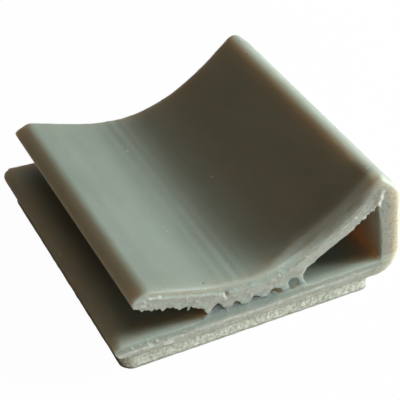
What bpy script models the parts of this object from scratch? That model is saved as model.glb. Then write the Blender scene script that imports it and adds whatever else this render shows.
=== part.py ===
"""Self-adhesive clip for flat ribbon cable.

One PVC extrusion, cut to length: a base plate, a back wall that leans in, and a
sprung leaf that folds back over the base and holds the cable with a row of
teeth. A pad of double-sided foam tape is bonded under the base and still has
its release liner. Metres, +Z up. The origin is the middle of the underside, -X
is the side where the cable slides in, and Y runs along the extrusion.
"""

import math

import bmesh
import bpy
from mathutils import Vector

MM = 0.001

# Overall size
CUT_LENGTH = 25.0 * MM         # length sawn off the extrusion, along Y
BASE_WIDTH = 25.0 * MM         # mouth edge to the back wall's outer face

# Base plate
BASE_THICK = 1.5 * MM
MOUTH_ROUND = 0.7 * MM         # rounding on top of the mouth edge
FOOT_ROUND = 0.4 * MM          # rounding at its foot
MOUTH_SLOPE = math.radians(24.0)   # the mouth edge draws in towards its foot

# Back wall and the fold above it
WALL_THICK = 1.6 * MM          # at the base plate
WALL_HEIGHT = 8.25 * MM        # base underside to the bend of the shoulder
WALL_LEAN = math.radians(4.5)
INNER_LEAN = math.radians(7.6)     # the wall thickens towards the fold
CORNER_ROUND = 2.1 * MM        # outer corner between base and wall
CORNER_FILLET = 0.5 * MM       # inner corner between base and wall
SHOULDER_TURN = math.radians(41.0)
SHOULDER_ROUND = 2.0 * MM
FOLD_ROUND = 1.0 * MM          # crest of the fold
NOTCH_ROUND = 0.18 * MM        # narrow inner end of the fold

# Leaf: its top surface is a chain of tangent arcs about its lowest point
VALLEY_X = 11.35 * MM          # lowest point, from the mouth edge
RISE_ROUND = 6.5 * MM          # tight bend at the foot of the rise
RISE_BEND = math.radians(19.0)
RISE_SLOPE = math.radians(41.0)    # slope at the root
ROOT_SETBACK = 4.7 * MM        # root to the back wall's outer face
FLARE_ROUND = 10.0 * MM        # tight bend at the foot of the flare
FLARE_BEND = math.radians(9.0)
FLARE_EASE = 22.0 * MM         # slacker bend that runs out into the flare
FLARE_SLOPE = math.radians(16.5)
FLARE_LENGTH = 5.1 * MM        # straight part that opens the mouth
NOSE_THICK = 1.5 * MM
ROOT_THICK = 2.2 * MM

# Nose of the leaf: a crown that slopes down to a rounded tip, and a sharp lower edge
CROWN_LENGTH = 0.75 * MM       # lower edge back to where the top bends down
TIP_REACH = 0.45 * MM          # rounded tip beyond the lower edge
TIP_DROP = 1.1 * MM            # rounded tip below the line of the flare
CROWN_ROUND = 0.9 * MM
TIP_ROUND = 0.25 * MM

# Teeth under the leaf, with round grooves between them
TOOTH_COUNT = 6
TOOTH_PITCH = 1.36 * MM        # along the top of the leaf
TOOTH_HEIGHT = 0.6 * MM
TOOTH_TIP = 0.16 * MM          # width of each tip
TOOTH_CLEARANCE = 0.05 * MM    # lowest tips to the base plate
FIRST_TOOTH = 6.6 * MM         # along the leaf, from its lower edge

# Foam tape and its liner
FOAM_THICK = 1.05 * MM
LINER_THICK = 0.1 * MM
BOND_GAP = 0.05 * MM           # between faces that are bonded to each other
TAPE_MOUTH_SETBACK = 0.7 * MM  # from the mouth edge
TAPE_WALL_SETBACK = 2.3 * MM   # from the back wall's outer face
TAPE_SIDE_SETBACK = 0.1 * MM   # from each sawn end
TAPE_CORNER = 1.0 * MM

# Smoothness, and the share of a side that the fillet at one of its ends may take
SIDE_SHARE = 0.5
ARC_STEP = math.radians(6.0)
LEAF_STEP = 0.4 * MM

# Heights and arcs that follow from the sizes above
FOAM_BOTTOM = LINER_THICK + BOND_GAP
BASE_BOTTOM = FOAM_BOTTOM + FOAM_THICK + BOND_GAP
ROOT_X = BASE_WIDTH - ROOT_SETBACK
RISE_EASE = ((ROOT_X - VALLEY_X - RISE_ROUND * math.sin(RISE_BEND))
             / (math.sin(RISE_SLOPE) - math.sin(RISE_BEND)))
RISE_ARCS = ((RISE_ROUND, RISE_BEND), (RISE_EASE, RISE_SLOPE - RISE_BEND))
FLARE_ARCS = ((FLARE_ROUND, FLARE_BEND), (FLARE_EASE, FLARE_SLOPE - FLARE_BEND))
NOSE_AT = -FLARE_LENGTH - sum(radius * turn for radius, turn in FLARE_ARCS)
ROOT_AT = sum(radius * turn for radius, turn in RISE_ARCS)


def heading(angle):
    """Unit vector that points this way in the X-Z plane."""
    return Vector((math.cos(angle), math.sin(angle)))


def meet(point, direction, other, other_direction):
    """Where two lines cross."""
    across = direction.cross(other_direction)
    return point + direction * ((other - point).cross(other_direction) / across)


def arc(centre, radius, start, end):
    """Points round a circle from one direction angle to another."""
    steps = max(2, math.ceil(abs(end - start) / ARC_STEP))
    return [centre + radius * heading(start + (end - start) * i / steps) for i in range(steps + 1)]


def fillet(before, corner, after, radius):
    """Round a corner with an arc tangent to both of its sides, as large as they allow."""
    arriving = (corner - before).normalized()
    leaving = (after - corner).normalized()
    turn = math.atan2(arriving.cross(leaving), arriving.dot(leaving))
    side_length = min((corner - before).length, (after - corner).length)
    radius = min(radius, side_length * SIDE_SHARE / math.tan(abs(turn) / 2))
    side = math.copysign(1.0, turn)
    start = math.atan2(arriving.y, arriving.x) - side * math.pi / 2
    tangent_point = corner - arriving * radius * math.tan(abs(turn) / 2)
    centre = tangent_point - radius * heading(start)
    return arc(centre, radius, start, start + turn)


def leaf_thickness(along):
    """Thickness of the leaf, which swells from the nose to the root."""
    share = (along - NOSE_AT) / (ROOT_AT - NOSE_AT)
    return NOSE_THICK + (ROOT_THICK - NOSE_THICK) * share


VALLEY_Z = BASE_THICK + TOOTH_CLEARANCE + TOOTH_HEIGHT + leaf_thickness(0.0)


def leaf_frame(along):
    """Point and slope of the leaf's top, this far along from its lowest point."""
    side = math.copysign(1.0, along)
    left, x, z, slope = abs(along), 0.0, 0.0, 0.0
    for radius, turn in RISE_ARCS if along > 0 else FLARE_ARCS:
        step = min(left / radius, turn)
        x += radius * (math.sin(slope + step) - math.sin(slope))
        z += radius * (math.cos(slope) - math.cos(slope + step))
        slope += step
        left -= radius * step
    x += left * math.cos(slope)
    z += left * math.sin(slope)
    return Vector((VALLEY_X + side * x, VALLEY_Z + z)), side * slope


def leaf_point(along, depth):
    """Point this deep under the leaf's top surface."""
    point, slope = leaf_frame(along)
    return point + depth * heading(slope - math.pi / 2)


def leaf_run(start, end, depth):
    """Points along the leaf from start to end, at a depth given for each place."""
    steps = max(2, math.ceil(abs(end - start) / LEAF_STEP))
    places = [start + (end - start) * i / steps for i in range(steps + 1)]
    return [leaf_point(along, depth(along)) for along in places]


def groove(first, second, height):
    """Round groove between two tooth tips, as an arc through both."""
    chord = second - first
    radius = (chord.length_squared / 4 + height ** 2) / (2 * height)
    up = Vector((-chord.y, chord.x)).normalized()
    centre = first + chord / 2 + up * (height - radius)
    start = math.atan2(first.y - centre.y, first.x - centre.x) % math.tau
    end = math.atan2(second.y - centre.y, second.x - centre.x)
    if end > start:
        end -= math.tau
    return arc(centre, radius, start, end)


def toothed_run():
    """Underside of the leaf over its teeth, with half a groove at each end."""
    def tip(index, side):
        along = NOSE_AT + FIRST_TOOTH + index * TOOTH_PITCH + side * TOOTH_TIP / 2
        return leaf_point(along, leaf_thickness(along) + TOOTH_HEIGHT)

    points = []
    for index in range(-1, TOOTH_COUNT):
        curve = groove(tip(index, 1), tip(index + 1, -1), TOOTH_HEIGHT)
        middle = len(curve) // 2
        if index < 0:
            curve = curve[middle:]
        elif index == TOOTH_COUNT - 1:
            curve = curve[:middle + 1]
        points += curve
    return points


def clip_outline():
    """Section of the extrusion, anticlockwise, from the mouth edge's foot."""
    # Base and back wall
    mouth = Vector((MOUTH_ROUND, BASE_THICK - MOUTH_ROUND))
    mouth_face = math.pi + MOUTH_SLOPE
    corner = Vector((BASE_WIDTH - CORNER_ROUND, CORNER_ROUND))
    wall_way = heading(math.pi / 2 + WALL_LEAN)
    wall_foot = corner + CORNER_ROUND * heading(WALL_LEAN)
    along_x = Vector((1.0, 0.0))
    mouth_end = mouth + MOUTH_ROUND * heading(mouth_face)
    foot = meet(mouth_end, heading(mouth_face + math.pi / 2), Vector((0.0, 0.0)), along_x)

    # Fold: shoulder, then crest
    shoulder = meet(wall_foot, wall_way, Vector((0.0, WALL_HEIGHT)), along_x)
    shoulder_way = heading(math.pi / 2 + WALL_LEAN + SHOULDER_TURN)
    root, root_slope = leaf_frame(ROOT_AT)
    crest = meet(shoulder, shoulder_way, root, heading(root_slope))

    # Nose
    lower_edge = leaf_point(NOSE_AT, NOSE_THICK)
    flare = leaf_point(NOSE_AT + FLARE_LENGTH, 0.0)
    crown = leaf_point(NOSE_AT + CROWN_LENGTH, 0.0)
    tip = leaf_point(NOSE_AT - TIP_REACH, TIP_DROP)

    # Inside of the fold and of the corner
    inner_foot = Vector((BASE_WIDTH - WALL_THICK, BASE_THICK))
    inner_way = heading(math.pi / 2 + INNER_LEAN)
    under_root = leaf_point(ROOT_AT, ROOT_THICK)
    notch = meet(under_root, heading(root_slope), inner_foot, inner_way)
    teeth_start = NOSE_AT + FIRST_TOOTH - TOOTH_PITCH / 2
    teeth_end = teeth_start + TOOTH_COUNT * TOOTH_PITCH

    points = fillet(mouth_end, foot, Vector((corner.x, 0.0)), FOOT_ROUND)
    points += arc(corner, CORNER_ROUND, -math.pi / 2, WALL_LEAN)
    points += fillet(wall_foot, shoulder, crest, SHOULDER_ROUND)
    points += fillet(shoulder, crest, root, FOLD_ROUND)
    points += leaf_run(ROOT_AT, 0.0, lambda along: 0.0)
    points += leaf_run(0.0, NOSE_AT + FLARE_LENGTH, lambda along: 0.0)[1:]
    points += fillet(flare, crown, tip, CROWN_ROUND)
    points += fillet(crown, tip, lower_edge, TIP_ROUND)
    points += leaf_run(NOSE_AT, teeth_start, leaf_thickness)[:-1]
    points += toothed_run()
    points += leaf_run(teeth_end, ROOT_AT, leaf_thickness)[1:]
    points += fillet(under_root, notch, inner_foot, NOTCH_ROUND)
    points += fillet(notch, inner_foot, Vector((0.0, BASE_THICK)), CORNER_FILLET)
    points += arc(mouth, MOUTH_ROUND, math.pi / 2, mouth_face)
    return points


def tape_outline():
    """Plan of the foam pad and its liner, anticlockwise, with rounded corners."""
    left = TAPE_MOUTH_SETBACK - BASE_WIDTH / 2 + TAPE_CORNER
    right = BASE_WIDTH / 2 - TAPE_WALL_SETBACK - TAPE_CORNER
    back = CUT_LENGTH / 2 - TAPE_SIDE_SETBACK - TAPE_CORNER
    centres = ((right, -back), (right, back), (left, back), (left, -back))
    points = []
    for quarter, centre in enumerate(centres):
        start = (quarter - 1) * math.pi / 2
        points += arc(Vector(centre), TAPE_CORNER, start, start + math.pi / 2)
    return points


def make_material(name, colour, roughness):
    """Plain non-metallic surface."""
    material = bpy.data.materials.new(name)
    material.use_nodes = True
    shader = material.node_tree.nodes["Principled BSDF"]
    shader.inputs["Base Color"].default_value = (*colour, 1.0)
    shader.inputs["Roughness"].default_value = roughness
    shader.inputs["Metallic"].default_value = 0.0
    material.diffuse_color = (*colour, 1.0)
    return material


def extrude(name, outline, travel, material):
    """Solid swept from a closed outline along a straight line."""
    mesh = bpy.data.meshes.new(name)
    model = bmesh.new()
    start = model.faces.new([model.verts.new(point) for point in outline])
    swept = bmesh.ops.extrude_face_region(model, geom=[start])["geom"]
    moved = [item for item in swept if isinstance(item, bmesh.types.BMVert)]
    bmesh.ops.translate(model, verts=moved, vec=travel)
    bmesh.ops.recalc_face_normals(model, faces=model.faces)
    model.to_mesh(mesh)
    model.free()
    mesh.shade_smooth()
    mesh.set_sharp_from_angle(angle=math.radians(30.0))
    mesh.materials.append(material)
    solid = bpy.data.objects.new(name, mesh)
    bpy.context.scene.collection.objects.link(solid)
    return solid


def build_clip():
    """The PVC extrusion."""
    grey_pvc = make_material("grey_pvc", (0.27, 0.30, 0.26), 0.45)
    outline = [(point.x - BASE_WIDTH / 2, -CUT_LENGTH / 2, point.y) for point in clip_outline()]
    clip = extrude("clip_body", outline, (0.0, CUT_LENGTH, 0.0), grey_pvc)
    clip.location.z = BASE_BOTTOM


def build_tape():
    """The foam pad and the liner that covers its lower adhesive."""
    foam = make_material("foam", (0.56, 0.58, 0.49), 0.9)
    paper = make_material("liner_paper", (0.20, 0.16, 0.12), 0.5)
    plan = [(point.x, point.y, 0.0) for point in tape_outline()]
    pad = extrude("foam_tape", plan, (0.0, 0.0, FOAM_THICK), foam)
    pad.location.z = FOAM_BOTTOM
    extrude("release_liner", plan, (0.0, 0.0, LINER_THICK), paper)


def main():
    for thing in list(bpy.data.objects):
        bpy.data.objects.remove(thing, do_unlink=True)
    build_clip()
    build_tape()


main()
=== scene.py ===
"""Looks of the self-adhesive clip for flat ribbon cable.

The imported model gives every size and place. The PVC extrusion, the foam tape
and its liner are each rebuilt as a fine mesh over their solid: the extrusion
gets its die lines and two sawn ends with torn and smeared edges, the foam its
cells, and the liner its cut edge. Lengths are metres in the frame's own axes.
"""

import math

import bmesh
import bpy
import numpy as np
from mathutils import Matrix, Vector
from mathutils.geometry import delaunay_2d_cdt


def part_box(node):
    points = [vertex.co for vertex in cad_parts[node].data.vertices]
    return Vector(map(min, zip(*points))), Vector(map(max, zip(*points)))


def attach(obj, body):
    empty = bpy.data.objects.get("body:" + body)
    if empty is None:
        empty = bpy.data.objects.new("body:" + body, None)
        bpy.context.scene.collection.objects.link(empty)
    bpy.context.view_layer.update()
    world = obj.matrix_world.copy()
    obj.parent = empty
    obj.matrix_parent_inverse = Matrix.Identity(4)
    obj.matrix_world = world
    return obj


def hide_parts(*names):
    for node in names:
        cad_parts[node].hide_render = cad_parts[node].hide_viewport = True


MM = 0.001

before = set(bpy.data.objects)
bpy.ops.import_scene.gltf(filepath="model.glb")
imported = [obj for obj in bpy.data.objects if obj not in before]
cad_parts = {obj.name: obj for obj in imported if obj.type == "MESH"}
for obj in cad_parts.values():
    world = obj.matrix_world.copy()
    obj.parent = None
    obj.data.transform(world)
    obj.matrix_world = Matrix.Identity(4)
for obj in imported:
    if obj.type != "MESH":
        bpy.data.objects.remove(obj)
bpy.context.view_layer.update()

# Camera, as fitted to the photograph
PHOTO_SIDE = 400                    # pixels
FOCAL_PIXELS = 1302.8
CAMERA_AT = (-37.236 * MM, -79.126 * MM, 70.059 * MM)
CAMERA_AZIMUTH = math.radians(-25.63)
CAMERA_ELEVATION = math.radians(37.07)
CAMERA_ROLL = math.radians(-0.764)
SENSOR = 36.0                       # width in the camera's own millimetres

# Fineness of the meshes
SKIN_STEP = 0.09 * MM               # round the section
RING_STEP = 1.2 * MM                # along the extrusion
CAP_STEP = 0.085 * MM               # over a sawn end
FOAM_STEP = 0.075 * MM              # round the foam
FOAM_LEVELS = 18                    # rings from the foam's foot to its top
LINER_STEP = 0.12 * MM              # round the liner
HIDDEN_STEP = 1.0 * MM              # over faces that lie on another piece
SHARP_TURN = math.radians(25.0)     # corners turned more than this stay corners
SHARP_EDGE = math.radians(50.0)     # edges folded more than this are shaded sharp
JITTER = 0.15                       # of a step, in the points spread over an end
RIM_GAP = 0.6                       # of a step, between those points and the end's rim


class Grain:
    """Smooth random field of one to three coordinates, the same on each run."""

    PRIMES = (73856093, 19349663, 83492791)

    def __init__(self, seed):
        self.table = np.random.default_rng(seed).uniform(-1.0, 1.0, 8192)

    def __call__(self, *coordinates):
        whole = [np.floor(c).astype(np.int64) for c in coordinates]
        part = [c - w for c, w in zip(coordinates, whole)]
        smooth = [p * p * (3 - 2 * p) for p in part]
        total = 0.0
        for corner in range(2 ** len(coordinates)):
            key, weight = 0, 1.0
            for axis, (w, s) in enumerate(zip(whole, smooth)):
                step = corner >> axis & 1
                key = key ^ (w + step) * self.PRIMES[axis]
                weight = weight * (s if step else 1 - s)
            total = total + weight * self.table[key & 8191]
        return total

    def rough(self, octaves, *coordinates):
        """Sum of octaves, each half the size and strength of the one before."""
        return sum(self(*(c * 2 ** k + 17.3 * k for c in coordinates)) / 2 ** k for k in range(octaves))


def mm(*lengths):
    """Millimetres in the frame's metres."""
    return tuple(length * MM for length in lengths)


def unit(vectors):
    """The same directions with length one."""
    return vectors / np.maximum(np.linalg.norm(vectors, axis=-1, keepdims=True), 1e-12)


def ease(value, start, end):
    """Smooth step from zero at the start to one at the end."""
    share = np.clip((value - start) / (end - start), 0.0, 1.0)
    return share * share * (3 - 2 * share)


def between(value, start, full, fading, gone):
    """Smooth rise to one between the first two values, and fall back to zero between the last two."""
    return ease(value, start, full) * (1 - ease(value, fading, gone))


def bell(distance, reach):
    """One at no distance, and about a third at the reach."""
    return np.exp(-(distance / reach) ** 2)


def soft_step(value, width):
    """Share that goes softly from zero, where the value is negative, to one."""
    return 1 / (1 + np.exp(-value / width))


def line_height(x, line):
    """Height at x of a line of places (x, z)."""
    line_x, line_z = zip(*line)
    return np.interp(x, line_x, line_z)


# Outlines

def rim_loop(node, axis):
    """Corners of the node's lowest flat end along an axis, in order, with area counted positive."""
    flat = [i for i in range(3) if i != axis]
    model = bmesh.new()
    model.from_mesh(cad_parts[node].data)
    bmesh.ops.remove_doubles(model, verts=model.verts, dist=1e-6)
    low = min(v.co[axis] for v in model.verts)
    end = {f for f in model.faces if all(abs(v.co[axis] - low) < 1e-6 for v in f.verts)}
    rim = [e for e in model.edges if sum(f in end for f in e.link_faces) == 1]
    beside = {}
    for edge in rim:
        a, b = edge.verts
        beside.setdefault(a, []).append(b)
        beside.setdefault(b, []).append(a)
    first = next(iter(beside))
    walk = [first, beside[first][0]]
    while True:
        a, b = beside[walk[-1]]
        ahead = b if a is walk[-2] else a
        if ahead is first:
            break
        walk.append(ahead)
    loop = np.array([[v.co[i] for i in flat] for v in walk], float)
    model.free()
    x, z = loop.T
    area = np.sum(x * np.roll(z, -1) - np.roll(x, -1) * z)
    return loop if area > 0 else loop[::-1]


class Outline:
    """Closed outline, evenly and smoothly resampled between its sharp corners."""

    def __init__(self, corners, step):
        corners = self.halve_longest(corners)
        edge = np.roll(corners, -1, 0) - corners
        way = np.arctan2(edge[:, 1], edge[:, 0])
        turn = (way - np.roll(way, 1) + math.pi) % math.tau - math.pi
        sharp = np.flatnonzero(np.abs(turn) > SHARP_TURN)
        sharp = sharp if len(sharp) else np.array([0])
        corners = np.roll(corners, -sharp[0], 0)
        sharp = [*(sharp - sharp[0]), len(corners)]
        closed = np.vstack([corners, corners[:1]])
        runs = [self.smooth(closed[a:b + 1], step) for a, b in zip(sharp, sharp[1:])]
        self.points = np.vstack([run[:-1] for run in runs])
        self.measure()

    def measure(self):
        """Outward normals and the distance along the outline."""
        ahead = np.roll(self.points, -1, 0)
        forward = unit(ahead - self.points)
        tangent = unit(forward + np.roll(forward, 1, 0))
        self.normals = np.column_stack([tangent[:, 1], -tangent[:, 0]])
        lengths = np.linalg.norm(ahead - self.points, axis=1)
        self.along = np.concatenate([[0.0], np.cumsum(lengths)[:-1]])

    @staticmethod
    def halve_longest(corners):
        """The same corners, which now start at the middle of the longest side."""
        ahead = np.roll(corners, -1, 0)
        longest = int(np.argmax(np.linalg.norm(ahead - corners, axis=1)))
        middle = (corners[longest] + ahead[longest]) / 2
        return np.vstack([middle, np.roll(corners, -longest - 1, 0)])

    @staticmethod
    def smooth(run, step):
        """Cubic through one run of corners, whose long straight sides stay straight."""
        pieces = [run[:1]]
        for a, b in zip(run, run[1:]):
            count = max(1, math.ceil(np.linalg.norm(b - a) / (4 * step)))
            pieces.append(a + (b - a) * np.arange(1, count + 1)[:, None] / count)
        knots = np.vstack(pieces)
        span = np.linalg.norm(np.diff(knots, axis=0), axis=1)
        place = np.concatenate([[0.0], np.cumsum(span)])
        slope = np.diff(knots, axis=0) / span[:, None]
        inner = (slope[:-1] * span[1:, None] + slope[1:] * span[:-1, None]) / (span[1:] + span[:-1])[:, None]
        tangent = np.vstack([slope[:1], inner, slope[-1:]])
        wanted = np.linspace(0.0, place[-1], max(2, math.ceil(place[-1] / step) + 1))
        i = np.clip(np.searchsorted(place, wanted, "right") - 1, 0, len(span) - 1)
        t = ((wanted - place[i]) / span[i])[:, None]
        h = span[i][:, None]
        start = (1 + 2 * t) * (1 - t) ** 2 * knots[i] + t * (1 - t) ** 2 * h * tangent[i]
        end = t * t * (3 - 2 * t) * knots[i + 1] + t * t * (t - 1) * h * tangent[i + 1]
        return start + end


def inside(points, loop):
    """Which points lie within a closed loop."""
    x, y = points.T
    found = np.zeros(len(points), bool)
    for (ax, ay), (bx, by) in zip(loop, np.roll(loop, -1, 0)):
        if ay == by:
            continue
        crossing = (ay > y) != (by > y)
        found ^= crossing & (x < (bx - ax) * (y - ay) / (by - ay) + ax)
    return found


def spread_inside(loop, step, seed):
    """Points spread evenly inside a closed loop, and kept a little away from it."""
    low, high = loop.min(0), loop.max(0)
    rows = np.arange(low[1] + step / 2, high[1], step * math.sqrt(3) / 2)
    columns = np.arange(low[0] + step / 2, high[0], step)
    x, y = np.meshgrid(columns, rows)
    x = x + (np.arange(len(rows)) % 2)[:, None] * step / 2
    spread = np.column_stack([x.ravel(), y.ravel()])
    spread = spread + np.random.default_rng(seed).uniform(-JITTER, JITTER, spread.shape) * step
    spread = spread[inside(spread, loop)]
    cell = 2 * step
    near = {}
    for point in loop:
        near.setdefault(tuple(np.floor(point / cell).astype(int)), []).append(point)
    kept = []
    for point in spread:
        a, b = np.floor(point / cell).astype(int)
        around = [q for i in (-1, 0, 1) for j in (-1, 0, 1) for q in near.get((a + i, b + j), ())]
        if not around or np.min(np.linalg.norm(np.array(around) - point, axis=1)) > RIM_GAP * step:
            kept.append(point)
    return np.array(kept)


def fill(loop, step, seed):
    """Points spread inside a closed loop, and triangles that count the loop's own points first."""
    scale = 1.0 / step
    plane = [Vector(p) for p in np.vstack([loop, spread_inside(loop, step, seed)]) * scale]
    sides = [(i, (i + 1) % len(loop)) for i in range(len(loop))]
    points, _, faces, originals, _, _ = delaunay_2d_cdt(plane, sides, [list(range(len(loop)))], 1, 1e-7)
    source = [min(original) if original else -1 for original in originals]
    points = np.array([list(p) for p in points]) / scale
    order = np.argsort([s if s >= 0 else len(plane) for s in source], kind="stable")
    rank = np.empty(len(order), int)
    rank[order] = np.arange(len(order))
    return points[order][len(loop):], [rank[list(face)] for face in faces]


# Meshes

class Shell:
    """Skin over rings of points, each closed on itself, whose first and last ring are filled."""

    def __init__(self):
        self.rings = []
        self.inner = []
        self.end_faces = []
        self.marks = {}

    def add_ring(self, points, **marks):
        self.rings.append(points)
        self.keep_marks(marks, len(points))

    def keep_marks(self, marks, count):
        """Named values, one for each point or the same for all."""
        for name, values in marks.items():
            self.marks.setdefault(name, []).append(np.broadcast_to(values, count))

    def fill_end(self, last, inner, triangles, **marks):
        """Fills the first or the last ring. Its triangles count the ring's points, then the inner ones."""
        count = len(self.rings[0])
        first = (len(self.rings) - 1) * count if last else 0
        total = sum(len(points) for points in self.rings + self.inner)
        index = [*range(first, first + count), *range(total, total + len(inner))]
        faces = [tuple(index[corner] for corner in triangle) for triangle in triangles]
        self.end_faces += faces if last else [face[::-1] for face in faces]
        self.inner.append(inner)
        self.keep_marks(marks, len(inner))

    def side_faces(self):
        """Quads between each ring and the next."""
        count = len(self.rings[0])
        faces = []
        for ring in range(len(self.rings) - 1):
            a, b = ring * count, (ring + 1) * count
            faces += [(a + i, a + (i + 1) % count, b + (i + 1) % count, b + i) for i in range(count)]
        return faces

    def make_piece(self, name, materials, flipped=False):
        """Smooth mesh object whose last material covers its ends. Flipped faces look the other way."""
        sides = self.side_faces()
        faces = sides + self.end_faces
        if flipped:
            faces = [face[::-1] for face in faces]
        shares = [0] * len(sides) + [len(materials) - 1] * len(self.end_faces)
        mesh = bpy.data.meshes.new(name)
        mesh.from_pydata(np.vstack(self.rings + self.inner).tolist(), [], faces)
        for material in materials:
            mesh.materials.append(material)
        mesh.polygons.foreach_set("material_index", np.array(shares, np.int32))
        for mark, parts in self.marks.items():
            values = np.concatenate(parts).astype(np.float32)
            mesh.attributes.new(mark, "FLOAT", "POINT").data.foreach_set("value", values)
        mesh.validate()
        mesh.shade_smooth()
        mesh.set_sharp_from_angle(angle=SHARP_EDGE)
        piece = bpy.data.objects.new(name, mesh)
        bpy.context.scene.collection.objects.link(piece)
        return piece


# Materials

class Graph:
    """Shader nodes of one material."""

    def __init__(self, name):
        self.material = bpy.data.materials.new(name)
        self.material.use_nodes = True
        self.tree = self.material.node_tree
        self.shader = self.tree.nodes["Principled BSDF"]
        self.output = self.tree.nodes["Material Output"]
        self.place = self.add("TexCoord").outputs["Object"]

    def add(self, kind, inputs=None, **settings):
        node = self.tree.nodes.new("ShaderNode" + kind)
        for key, value in settings.items():
            setattr(node, key, value)
        for key, value in (inputs or {}).items():
            self.put(node.inputs[key], value)
        return node

    def put(self, socket, value):
        if isinstance(value, bpy.types.NodeSocket):
            self.tree.links.new(value, socket)
        else:
            socket.default_value = value

    def set(self, **inputs):
        """Sets the shader's own sockets, whose names have underscores for spaces here."""
        for key, value in inputs.items():
            self.put(self.shader.inputs[key.replace("_", " ")], value)

    def math(self, operation, *values, clamp=False):
        node = self.add("Math", dict(enumerate(values)), operation=operation, use_clamp=clamp)
        return node.outputs[0]

    def scaled(self, size, stretch):
        """Object coordinates counted in features of this size, stretched along each axis."""
        scale = tuple(1 / (size * s) for s in stretch)
        return self.add("Mapping", {"Vector": self.place, "Scale": scale}).outputs[0]

    def noise(self, size, stretch=(1, 1, 1), detail=3.0, roughness=0.55):
        """Noise whose features are this long, and longer along an axis that is stretched."""
        where = self.scaled(size, stretch)
        inputs = {"Vector": where, "Scale": 1.0, "Detail": detail, "Roughness": roughness}
        return self.add("TexNoise", inputs).outputs[0]

    def spots(self, size, share, stretch=(1, 1, 1)):
        """One inside sparse small spots and zero elsewhere."""
        cells = self.add("TexVoronoi", {"Vector": self.scaled(size, stretch), "Scale": 1.0})
        chosen = self.add("SeparateColor", {"Color": cells.outputs["Color"]}).outputs[0]
        rare = self.math("LESS_THAN", chosen, share)
        near = self.ramp(cells.outputs["Distance"], (0.18, 1.0), (0.3, 0.0))
        return self.math("MULTIPLY", rare, near)

    def ramp(self, value, *stops):
        """Level or colour at each stop, with straight lines between them."""
        node = self.add("ValToRGB", {"Fac": value})
        ramp = node.color_ramp
        while len(ramp.elements) < len(stops):
            ramp.elements.new(0.5)
        for element, (position, level) in zip(ramp.elements, stops):
            element.position = position
            colour = level if isinstance(level, tuple) else (level,) * 3
            element.color = (*colour, 1.0)
        return node.outputs[0]

    def mix(self, share, first, second):
        node = self.add("Mix", data_type="RGBA")
        for socket, value in ((0, share), (6, first), (7, second)):
            if isinstance(value, tuple) and len(value) == 3:
                value = (*value, 1.0)
            self.put(node.inputs[socket], value)
        return node.outputs[2]

    def bump(self, height, strength, distance, under=None):
        inputs = {"Height": height, "Strength": strength, "Distance": distance}
        if under is not None:
            inputs["Normal"] = under
        return self.add("Bump", inputs).outputs[0]

    def mark(self, name, strength=1.0):
        """Value that the mesh holds at its points, times a strength and at most one."""
        value = self.add("Attribute", attribute_name=name).outputs["Fac"]
        return self.math("MULTIPLY", value, strength, clamp=True)


def set_pvc(g, dense):
    """Lets light wander about 1 mm deep in the PVC, and a quarter of that where the given share is full:
    where it is whitened, and where shade or highlight is painted.
    """
    g.shader.subsurface_method = "RANDOM_WALK_SKIN"
    g.set(Subsurface_Weight=1.0, Subsurface_Radius=(0.75, 0.56, 0.36))
    g.set(Subsurface_Scale=g.ramp(dense, (0.0, 1.0 * MM), (0.6, 0.25 * MM)))
    g.set(Specular_IOR_Level=0.45, IOR=1.53)


def pvc_skin():
    """Extruded grey PVC: fine die lines along Y, a dull sheen and a little dust."""
    g = Graph("grey_pvc_skin")
    lines = g.noise(0.30 * MM, (1, 300, 1), 4.0)
    clouds = g.noise(3.5 * MM, (1, 2.5, 1), 3.0)
    grit = g.noise(0.12 * MM, (1, 1, 1), 2.0)
    body = g.mix(g.ramp(clouds, (0.35, 0.0), (0.65, 1.0)), (0.270, 0.320, 0.275), (0.310, 0.365, 0.318))
    body = g.mix(g.ramp(lines, (0.3, 0.0), (0.7, 0.35)), body, (0.330, 0.380, 0.335))
    body = g.mix(g.ramp(grit, (0.35, 0.12), (0.55, 0.0)), body, (0.17, 0.17, 0.14))
    body = g.mix(g.spots(0.40 * MM, 0.0025), body, (0.10, 0.09, 0.075))
    body = g.mix(g.spots(0.45 * MM, 0.005), body, (0.55, 0.60, 0.54))
    # Painted shade in the grooves under the teeth, on the wall's inner face and on the rising leaf's rim
    body = g.mix(g.mark("shade", 0.8), body, (0.07, 0.065, 0.05))
    # Whitening where the cut's burrs stand out, and painted light on the nose
    body = g.mix(g.mark("wear_and_light", 0.7), body, (0.50, 0.59, 0.55))
    g.set(Base_Color=body, Roughness=g.ramp(lines, (0.3, 0.36), (0.7, 0.50)))
    fine = g.bump(lines, 0.35, 0.006 * MM)
    g.set(Normal=g.bump(grit, 0.25, 0.006 * MM, fine))
    set_pvc(g, g.mark("dense"))
    return g.material


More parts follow.
